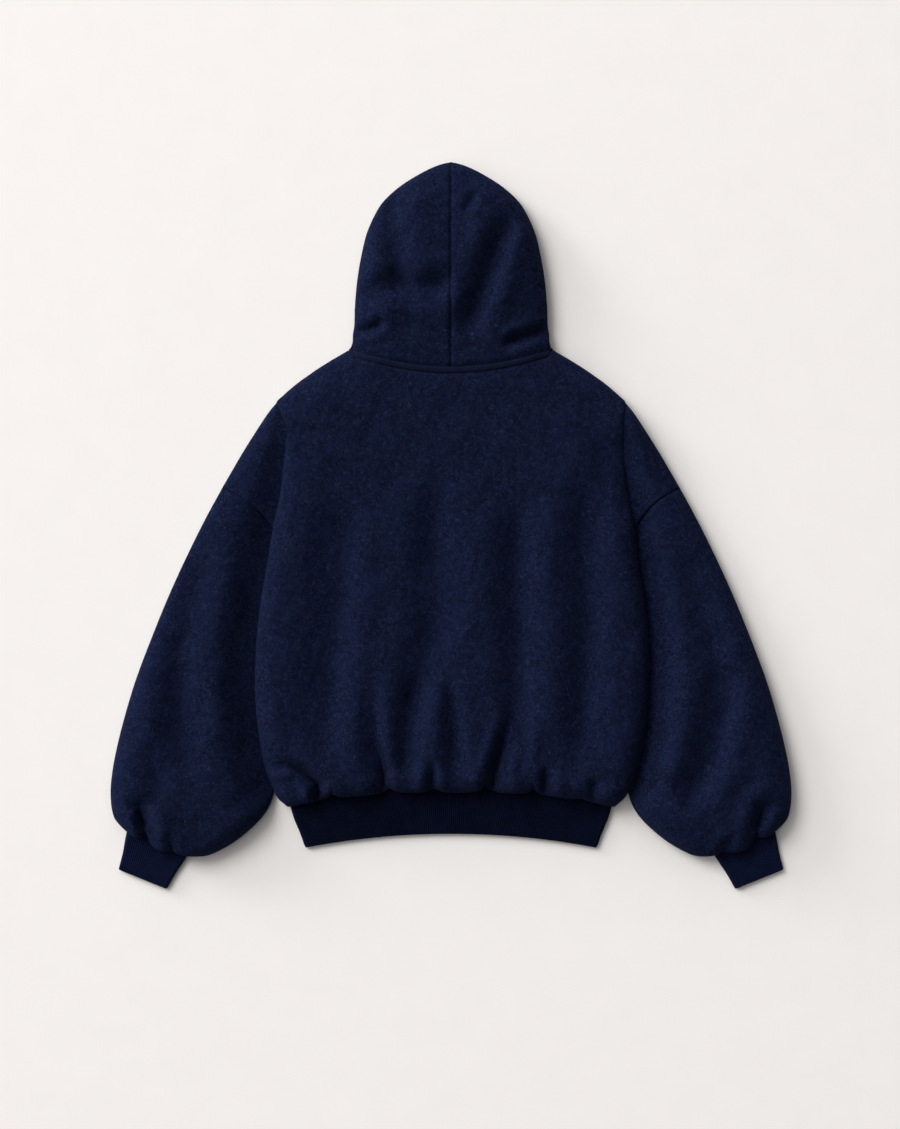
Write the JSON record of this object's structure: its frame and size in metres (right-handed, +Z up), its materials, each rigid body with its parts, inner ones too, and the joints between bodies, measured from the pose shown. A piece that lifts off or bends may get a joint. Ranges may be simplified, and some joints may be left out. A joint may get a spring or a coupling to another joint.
{
  "type": "pullover hoodie",
  "caption": "Oversized pullover hoodie in brushed fleece, laid flat with its back up: dropped shoulders, balloon sleeves, ribbed cuffs and hem band, two-panel hood.",
  "frame": {"origin": "centre of the bounding box in plan, at the surface that the garment lies on", "axes": "+Y from the hem towards the hood, +Z up out of the surface to the garment's back, +X across the back towards the wearer's right sleeve"},
  "size_m": [1.023, 1.0934, 0.0537],
  "materials": {
    "fleece": "brushed matte nap",
    "rib": "matte 1x1 rib knit",
    "tape": "matte stitched tape"
  },
  "bodies": {
    "root": {"back": "fleece", "front": "fleece", "sleeve_left": "fleece", "sleeve_right": "fleece", "hood_left": "fleece", "hood_right": "fleece", "cuff_left": "rib", "cuff_right": "rib", "hem_band": "rib", "neck_tape": "tape"}
  },
  "joints": []
}
